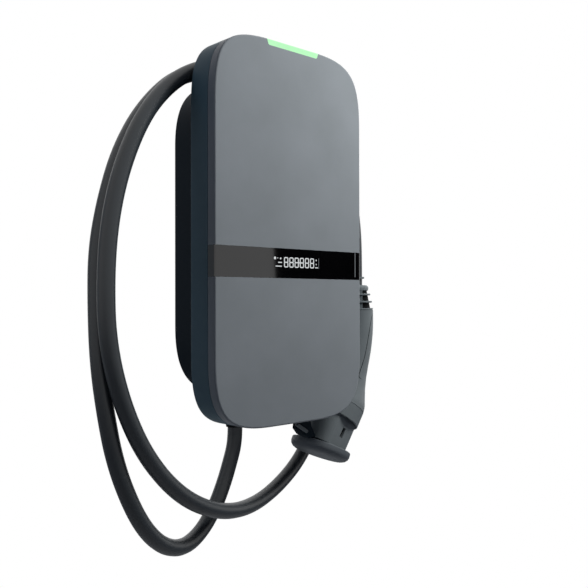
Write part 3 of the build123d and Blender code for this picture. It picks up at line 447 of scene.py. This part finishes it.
def strung_rows(name, loops, finish, replaced=()):
    """A closed skin through loops of as many points each, in millimetres."""
    body = bmesh.new()
    rows = [[body.verts.new(place * MM) for place in loop] for loop in loops]
    sides = len(rows[0])
    for lower, upper in zip(rows, rows[1:]):
        for k in range(sides):
            j = (k + 1) % sides
            body.faces.new((lower[k], lower[j], upper[j], upper[k]))
    body.faces.new(list(reversed(rows[0])))
    body.faces.new(rows[-1])
    bmesh.ops.recalc_face_normals(body, faces=body.faces)
    mesh = bpy.data.meshes.new(name)
    body.to_mesh(mesh)
    body.free()
    mesh.materials.append(finish)
    mesh.shade_smooth()
    mesh.set_sharp_from_angle(angle=SMOOTH_ANGLE)
    piece = bpy.data.objects.new(name, mesh)
    scene.collection.objects.link(piece)
    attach(piece, "wallbox")
    if replaced:
        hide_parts(*replaced)


def strung_rings(name, rings, finish, replaced=()):
    """A closed skin through rings of centre, two directions across and radius."""
    angles = [2 * math.pi * k / RING_SIDES for k in range(RING_SIDES)]
    loops = [[centre + out * radius * math.cos(angle) + side * radius * math.sin(angle)
              for angle in angles] for centre, out, side, radius in rings]
    strung_rows(name, loops, finish, replaced)


def turned_rings(foot, axis, profile):
    """Rings about a straight axis, from pairs of height along it and radius."""
    out = axis.cross(Vector((0, 1, 0))).normalized()
    side = axis.cross(out)
    return [(foot + axis * height, out, side, radius) for height, radius in profile]


print("sides of each ring:", RING_SIDES)

# %% [markdown]
# ## Parking dish
# The connector is parked in a shallow dish with a rounded bottom, which leans to the right.
# The profile is one line of height and radius, in millimetres: up the outside, over the lip
# and inwards to the nose.

# %% Dish
DISH_LEAN = math.radians(25)
DISH_FOOT = Vector((84.2, -58.0, -252.1))
dish_axis = Vector((math.sin(DISH_LEAN), 0, math.cos(DISH_LEAN)))
DISH_PROFILE = [(0.0, 24.0), (0.5, 28.8), (2.0, 32.4), (4.6, 34.9), (8.0, 35.9), (12.0, 35.8), (12.8, 35.3),
                (13.0, 34.6), (12.8, 33.9), (12.2, 33.2), (11.2, 31.0), (10.8, 28.6), (10.7, 20.0)]
strung_rings("parking_dish", turned_rings(DISH_FOOT, dish_axis, DISH_PROFILE), cup_plastic,
             ["dock_cup"])
print("dish made; its lean in degrees:", round(math.degrees(DISH_LEAN)))

# %% [markdown]
# ## Arm of the parking dish
# A flat arm hangs from the underside of the box and grows into the dish's left rim. Its near-black is
# painted shade:
# it takes the drum's black plastic to stand for the deep shadow between the box and the nose. A
# rounded lip lies across its lower end, in front.

# %% Arm and lip
# Each row is the arm's left side, right side and height.
ARM_ROWS = [(40, 60, -192), (38, 60, -206), (37, 62, -214), (43, 66, -221), (52, 68, -226)]
ARM_NEAR, ARM_FAR, ARM_CORNER = -73, -62, 3
LIP_ENDS = [Vector((34.5, -74, -208.2)), Vector((51.5, -74, -218.8))]
LIP_RADIUS = 2.1
LIP_ROUND = 0.8


def rounded_loop(left, right, near, far, corner, height):
    """A rectangle with cut corners, seen from above."""
    return [Vector((x, y, height)) for x, y in (
        (left + corner, near), (right - corner, near), (right, near + corner), (right, far - corner),
        (right - corner, far), (left + corner, far), (left, far - corner), (left, near + corner))]


arm_loops = [rounded_loop(left, right, ARM_NEAR, ARM_FAR, ARM_CORNER, height)
             for left, right, height in ARM_ROWS]
# The arm's black drum plastic is painted shade for the deep shadow between the box and the nose.
strung_rows("parking_arm", arm_loops, drum_plastic, ["dock_arm"])
lip_axis = (LIP_ENDS[1] - LIP_ENDS[0]).normalized()
lip_length = (LIP_ENDS[1] - LIP_ENDS[0]).length
lip_profile = [(0.0, LIP_RADIUS / 2), (LIP_ROUND, LIP_RADIUS), (lip_length - LIP_ROUND, LIP_RADIUS),
               (lip_length, LIP_RADIUS / 2)]
strung_rings("parking_lip", turned_rings(LIP_ENDS[0], lip_axis, lip_profile), connector_plastic)
print("arm and lip made; lip length in mm:", round(lip_length, 1))

# %% [markdown]
# ## Boot and crown
# The cable leaves the handle through a ribbed boot: a black cone inside, thin rings round
# it, and a rounded shoulder on top. A broad web runs through the cone from the front left
# to the right rear and joins the rings; the gaps beside it are open. The handle's own top
# edge is a crown with a fine seam just below its rim.

# %% Crown, cone and shoulder
UPRIGHT_FOOT = Vector((149.5, -58.0, 0.0))
up = Vector((0, 0, 1))
CROWN = [(-83.0, 21.0), (-81.0, 21.0), (-80.9, 21.5), (-79.8, 21.5), (-79.4, 21.1), (-79.4, 17.7)]
BOOT_CORE = [(-80.0, 17.8), (-78.0, 17.7), (-56.0, 13.4), (-55.0, 13.3)]
SHOULDER = [(-58.2, 14.2), (-57.6, 15.5), (-54.6, 15.9), (-53.0, 15.4), (-51.8, 14.2), (-51.2, 12.6),
            (-51.1, 9.9)]
strung_rings("handle_crown", turned_rings(UPRIGHT_FOOT, up, CROWN), connector_plastic)
strung_rings("boot_cone", turned_rings(UPRIGHT_FOOT, up, BOOT_CORE), relief_rubber,
             ["boot_core"])
strung_rings("boot_shoulder", turned_rings(UPRIGHT_FOOT, up, SHOULDER), connector_plastic,
             ["connector_boot"])
print("top of the boot at z in mm:", SHOULDER[-1][0])

# %% Web and rings
# The web's rows are reach and height; each ring is height and radius.
WEB_AIM = Vector((0.73, 0.683, 0.0))
WEB_ROWS = [(18.4, -80.0), (13.9, -57.0)]
WEB_HALF = 8.4
BOOT_RINGS = [(-71.7, 20.3), (-62.7, 18.2)]
RING_HALF, RING_ROUND, RING_FLAT_SHARE = 1.1, 0.5, 0.6
web_side = WEB_AIM.cross(up)
web_loops = [[UPRIGHT_FOOT + up * height + WEB_AIM * reach * a + web_side * WEB_HALF * b
              for a, b in ((1, 1), (-1, 1), (-1, -1), (1, -1))] for reach, height in WEB_ROWS]
strung_rows("boot_web", web_loops, connector_plastic)
for number, (height, radius) in enumerate(BOOT_RINGS, 1):
    flat = RING_HALF * RING_FLAT_SHARE
    edge = [(height - RING_HALF, radius - RING_ROUND), (height - flat, radius), (height + flat, radius),
            (height + RING_HALF, radius - RING_ROUND)]
    strung_rings(f"boot_ring_{number}", turned_rings(UPRIGHT_FOOT, up, edge), connector_plastic)
print("boot rings made:", len(BOOT_RINGS))

# %% [markdown]
# ## Handle
# The handle is swept along a bend that starts in line with the nose and ends upright. Its
# radius shrinks from the collar to the crown.

# %% Middle line of the handle
# The bend is the four control points of one Bezier curve, in x and z.
HANDLE_BEND = [(120.84, -195.24), (127.5, -185.3), (149.5, -135.6), (149.5, -90.6)]
HANDLE_TOP = -82.0
BEND_STEPS = 40
UPRIGHT_STEPS = 4
corners = [Vector((x, UPRIGHT_FOOT.y, z)) for x, z in HANDLE_BEND]
middle = interpolate_bezier(*corners, BEND_STEPS + 1)
bend_end = corners[-1]
for step in range(1, UPRIGHT_STEPS + 1):
    rise = (HANDLE_TOP - bend_end.z) * step / UPRIGHT_STEPS
    middle.append(Vector((bend_end.x, bend_end.y, bend_end.z + rise)))
reaches = [0.0]
for before, after in zip(middle, middle[1:]):
    reaches.append(reaches[-1] + (after - before).length)
print("handle length in mm:", round(reaches[-1], 1))

# %% Handle skin
# The taper gives the radius as a share of the collar's, by share of the length.
COLLAR_RADIUS = 30.6
HANDLE_TAPER = [(0.0, 1.0), (0.05, 0.97), (0.13, 0.873), (0.22, 0.785), (0.33, 0.724), (0.45, 0.708),
                (0.6, 0.717), (0.776, 0.716), (0.92, 0.705), (1.0, 0.703)]
depth = Vector((0, 1, 0))


def read_table(table, place):
    """The value between the two nearest entries of a table that rises."""
    for (low, first), (high, second) in zip(table, table[1:]):
        if place <= high:
            return first + (second - first) * (place - low) / (high - low)
    return table[-1][1]


handle_rings = []
for i, centre in enumerate(middle):
    along = (middle[min(i + 1, len(middle) - 1)] - middle[max(i - 1, 0)]).normalized()
    out = (along.cross(depth) * -1).normalized()
    radius = COLLAR_RADIUS * read_table(HANDLE_TAPER, reaches[i] / reaches[-1])
    handle_rings.append((centre, out, depth, radius))
strung_rings("handle_skin", handle_rings, connector_plastic,
             ["connector_handle", "handle_grip"])
print("rings in the handle's skin:", len(handle_rings))

# %% [markdown]
# ## Edge of the grip
# The soft grip covers the outer side of the handle. Its edge shows as one fine dark line
# that runs down the front, turns under the grip and comes up again behind. At each height
# the line lies a share of the collar's radius out from the middle line, and the circle of
# the skin gives its two sides there.

# %% Line round the grip
GRIP_EDGE = [(-84.5, 0.67), (-87, 0.36), (-91, 0.2), (-100, 0.1), (-112, 0.04), (-124, 0.0), (-136, -0.03),
             (-146, -0.07), (-154, -0.13), (-160, -0.17), (-164, -0.1), (-167, 0.18), (-171, 0.5),
             (-175, 0.72), (-178, 0.84)]


def ring_at(height, share):
    """The handle's ring that is at a height, measured at a share of the collar's radius."""
    return min(handle_rings, key=lambda ring: abs(ring[0].z + ring[1].z * ring[3] * share - height))


edge_points = []
for height, share in GRIP_EDGE:
    centre, out, side, radius = ring_at(height, share)
    reach = min(COLLAR_RADIUS * share, radius)
    rise = math.sqrt(max(radius * radius - reach * reach, 0.0))
    edge_points.append((centre + out * reach, rise))
loop = [place - depth * rise for place, rise in edge_points]
loop += [place + depth * rise for place, rise in reversed(edge_points)]
print("points in the grip's edge:", len(loop))

# %% Seam of the grip
GRIP_LINE_RADIUS = 0.4
grip_line = bpy.data.curves.new("grip_line", "CURVE")
grip_line.dimensions = "3D"
grip_spline = grip_line.splines.new("NURBS")
grip_spline.points.add(len(loop) - 1)
for point, place in zip(grip_spline.points, loop):
    point.co = (*(place * MM), 1)
grip_spline.order_u = 3
grip_spline.use_cyclic_u = True
grip_spline.resolution_u = 6
grip_line.bevel_depth = GRIP_LINE_RADIUS * MM
grip_line.materials.append(relief_rubber)
grip_seam = bpy.data.objects.new("grip_seam", grip_line)
scene.collection.objects.link(grip_seam)
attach(grip_seam, "wallbox")
print("radius of the seam in mm:", GRIP_LINE_RADIUS)

# %% [markdown]
# ## What moves with the cable
# The real cable can be lifted off its drum.

# %% [markdown]
# ## Lit signs behind the window
# The display shows six digits of seven bars each, with small signs at both sides. On the
# real box they are lit liquid-crystal segments behind the window. Here each bar is a thin
# plate on the window's face. The photograph's signs are too small to read, so plain dots
# and bars stand for them. A dim glowing strip at the band's right end is a painted highlight
# that stands for the light on the band's edge.

# %% Function for thin plates
FRONT_Y = -108.0
SIGN_THICKNESS = 0.12


def plate_mesh(name, outlines, finish):
    """Thin plates on the front face, one for each outline of x and z in millimetres."""
    body = bmesh.new()
    for outline in outlines:
        front = [body.verts.new(Vector((x, FRONT_Y - SIGN_THICKNESS, z)) * MM) for x, z in outline]
        back = [body.verts.new(Vector((x, FRONT_Y + SIGN_THICKNESS, z)) * MM) for x, z in outline]
        body.faces.new(front)
        body.faces.new(list(reversed(back)))
        count = len(outline)
        for i in range(count):
            j = (i + 1) % count
            body.faces.new((front[j], front[i], back[i], back[j]))
    bmesh.ops.recalc_face_normals(body, faces=body.faces)
    mesh = bpy.data.meshes.new(name)
    body.to_mesh(mesh)
    body.free()
    mesh.materials.append(finish)
    piece = bpy.data.objects.new(name, mesh)
    scene.collection.objects.link(piece)
    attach(piece, "wallbox")


# %% Six digits
def bar(x, z, length, stroke, upright):
    """A bar with pointed ends, as in a seven-bar digit."""
    half, tip = length / 2, stroke / 2
    points = [(-half, 0), (-half + tip, tip), (half - tip, tip), (half, 0), (half - tip, -tip),
              (-half + tip, -tip)]
    return [(x + b, z + a) if upright else (x + a, z + b) for a, b in points]


DIGIT_COUNT = 6
DIGIT_LEFT, DIGIT_RIGHT = -13.9, 29.7
DIGIT_TOP, DIGIT_BOTTOM = -24.4, -35.2
DIGIT_STROKE = 1.15
DIGIT_GAP = 1.5
digit_pitch = (DIGIT_RIGHT - DIGIT_LEFT + DIGIT_GAP) / DIGIT_COUNT
digit_width = digit_pitch - DIGIT_GAP
digit_height = DIGIT_TOP - DIGIT_BOTTOM
bars = []
for i in range(DIGIT_COUNT):
    left = DIGIT_LEFT + i * digit_pitch + DIGIT_STROKE / 2
    right = left + digit_width - DIGIT_STROKE
    centre_z = (DIGIT_TOP + DIGIT_BOTTOM) / 2
    reach = (digit_height - DIGIT_STROKE) / 2
    for level in (-1, 0, 1):
        bars.append(bar((left + right) / 2, centre_z + level * reach, right - left, DIGIT_STROKE, False))
    for x in (left, right):
        for level in (-0.5, 0.5):
            bars.append(bar(x, centre_z + level * reach, reach, DIGIT_STROKE, True))
plate_mesh("display_digits", bars, sign_glow)
print("bars in the digits:", len(bars))

# %% Small signs, a line and a painted highlight
SPOT_SIDES = 14


def spot(x, z, radius):
    """A round dot."""
    angles = [2 * math.pi * k / SPOT_SIDES for k in range(SPOT_SIDES)]
    return [(x + radius * math.cos(angle), z + radius * math.sin(angle)) for angle in angles]


def strip(x0, x1, z0, z1):
    """A plain rectangle."""
    return [(x0, z0), (x1, z0), (x1, z1), (x0, z1)]


signs = [spot(-26.4, -25.8, 1.5), spot(-22.6, -25.6, 0.55), spot(-18.6, -26.0, 1.0), spot(33.0, -26.4, 0.8),
         spot(33.0, -30.8, 0.7), strip(-22.0, -16.9, -30.7, -29.6), strip(-25.6, -16.9, -34.6, -33.6),
         strip(31.4, 35.6, -34.9, -33.9), spot(7.9, -29.8, 0.7)]
plate_mesh("display_signs", signs, sign_glow)
# The first strip is a line of the display. The second, at the band's right end, is a painted highlight
# standing for the light on the band's edge.
line_and_edge_highlight_strips = [strip(36.6, 36.9, -35.4, -24.2), strip(94.5, 95.1, -43.2, -15.8)]
plate_mesh("display_line_and_painted_edge_highlight", line_and_edge_highlight_strips, dim_line_and_painted_highlight)
print("small signs:", len(signs), "and fine lines:", len(line_and_edge_highlight_strips))

# %% [markdown]
# ## Room and light
# The photograph has a pure white background. The sky is white for what the viewer sees and
# for what shines in the surfaces, and it is weak and bluish for the light that falls on the
# box. A soft lamp in front, close to the upper right corner, gives the face its slow rise
# towards that corner. A weak blue lamp lights the dark left side, and one behind the box
# lights its back.

# %% Sky
FILL_STRENGTH = 0.09
world = bpy.data.worlds.new("studio")
scene.world = world
world.use_nodes = True
sky = world.node_tree
sky.nodes.clear()
seen = add(sky, "ShaderNodeLightPath")
either = add(sky, "ShaderNodeMath", {"operation": "MAXIMUM"})
sky.links.new(seen.outputs["Is Camera Ray"], either.inputs[0])
sky.links.new(seen.outputs["Is Glossy Ray"], either.inputs[1])
any_seen = add(sky, "ShaderNodeMath", {"operation": "MAXIMUM"})
sky.links.new(either.outputs[0], any_seen.inputs[0])
sky.links.new(seen.outputs["Is Transmission Ray"], any_seen.inputs[1])
fill_light = add(sky, "ShaderNodeBackground", Color=linear("#C8DAFF"), Strength=FILL_STRENGTH)
white_back = add(sky, "ShaderNodeBackground", Color=linear("#FFFFFF"), Strength=1.0)
choice = add(sky, "ShaderNodeMixShader", Fac=any_seen.outputs[0])
sky.links.new(fill_light.outputs[0], choice.inputs[1])
sky.links.new(white_back.outputs[0], choice.inputs[2])
sky_output = sky.nodes.new("ShaderNodeOutputWorld")
sky.links.new(choice.outputs[0], sky_output.inputs["Surface"])
print("strength of the light from the sky:", FILL_STRENGTH)

# %% Lamps
def soft_lamp(name, place, target, size, power, colour):
    """A square soft lamp that faces a point. Places and size are in metres, power in watts."""
    data = bpy.data.lights.new(name, "AREA")
    data.shape = "SQUARE"
    data.size = size
    data.energy = power
    data.color = linear(colour)[:3]
    lamp = bpy.data.objects.new(name, data)
    lamp.location = place
    lamp.rotation_euler = (Vector(target) - Vector(place)).to_track_quat("-Z", "Y").to_euler()
    scene.collection.objects.link(lamp)
    lamp.visible_camera = False
    lamp.visible_glossy = False


LAMPS = [
    ("key_lamp", (0.40, -0.54, 0.54), (0.0, -0.11, 0.0), 0.3, 10.4, "#FDFDFA"),
    ("left_lamp", (-1.5, 0.25, 0.6), (0.0, 0.0, 0.0), 0.8, 1.9, "#DCE8FF"),
    ("rear_lamp", (0.9, 1.2, 0.8), (0.0, 0.0, 0.0), 0.8, 14, "#FFFFFF"),
]
for values in LAMPS:
    soft_lamp(*values)
print("lamps made:", len(LAMPS))

# %% [markdown]
# ## Floor and screens
# The floor is pale paper. The viewer sees it as pure white, and it keeps the soft light
# that real paper throws back. A black card stands where the window mirrors it, so that the
# window is black there and grey beside it, as in a studio with a dark screen. A dim screen
# at the left rear does the same for the box's left side.

# %% Floor
FLOOR_Z = -1.25
FLOOR_HALF = 6
floor_mesh = bmesh.new()
bmesh.ops.create_grid(floor_mesh, x_segments=1, y_segments=1, size=FLOOR_HALF)
floor_data = bpy.data.meshes.new("studio_floor")
floor_mesh.to_mesh(floor_data)
floor_mesh.free()
studio_floor = bpy.data.objects.new("studio_floor", floor_data)
studio_floor.location = (0, 0, FLOOR_Z)
scene.collection.objects.link(studio_floor)
paper, paper_tree, paper_shader, _ = new_finish("white_paper")
paper_shader.inputs["Base Color"].default_value = linear("#F2F2F2")
paper_shader.inputs["Roughness"].default_value = 0.9
paper_seen = add(paper_tree, "ShaderNodeLightPath")
paper_glow = add(paper_tree, "ShaderNodeEmission", Color=linear("#FFFFFF"), Strength=1.0)
paper_mix = add(paper_tree, "ShaderNodeMixShader", Fac=paper_seen.outputs["Is Camera Ray"])
paper_tree.links.new(paper_shader.outputs["BSDF"], paper_mix.inputs[1])
paper_tree.links.new(paper_glow.outputs[0], paper_mix.inputs[2])
paper_output = next(n for n in paper_tree.nodes if n.type == "OUTPUT_MATERIAL")
paper_tree.links.new(paper_mix.outputs[0], paper_output.inputs["Surface"])
floor_data.materials.append(paper)
print("floor at z in m:", FLOOR_Z)

# %% Dark card and dim screen
def mirrored_sheet(name, corners, finish):
    """A flat sheet, in metres, that only mirrored rays see."""
    mesh = bpy.data.meshes.new(name)
    mesh.from_pydata(corners, [], [(0, 1, 2, 3)])
    mesh.materials.append(finish)
    sheet = bpy.data.objects.new(name, mesh)
    scene.collection.objects.link(sheet)
    sheet.visible_camera = False
    sheet.visible_diffuse = False
    sheet.visible_shadow = False
    return sheet


CARD_Y = -1.4
CARD_CORNERS = [(1.094, 0.13), (1.106, -0.03), (1.75, -0.03), (1.75, 0.13)]
card_black, _, card_shader, _ = new_finish("black_card")
card_shader.inputs["Base Color"].default_value = linear("#000000")
card_shader.inputs["Specular IOR Level"].default_value = 0.0
dark_card = mirrored_sheet("dark_card", [(x, CARD_Y, z) for x, z in CARD_CORNERS], card_black)
SCREEN_ENDS = [(-0.977, 0.499), (-0.413, 0.913)]
SCREEN_HALF_HEIGHT = 0.7
SCREEN_GLOW = 0.3
SCREEN_MOTTLE_MM = 400
screen_corners = [(x, y, -SCREEN_HALF_HEIGHT) for x, y in SCREEN_ENDS]
screen_corners += [(x, y, SCREEN_HALF_HEIGHT) for x, y in reversed(SCREEN_ENDS)]
screen_light = glowing("dim_screen_light", "#E8F2FF", SCREEN_GLOW, SCREEN_MOTTLE_MM)
dim_screen = mirrored_sheet("dim_screen", screen_corners, screen_light)
print("pieces of the stage: studio_floor,", dark_card.name + ",", dim_screen.name)

# %% [markdown]
# ## View transform
# The picture is shown through Blender's Standard view transform.

# %% View transform
scene.view_settings.view_transform = "Standard"
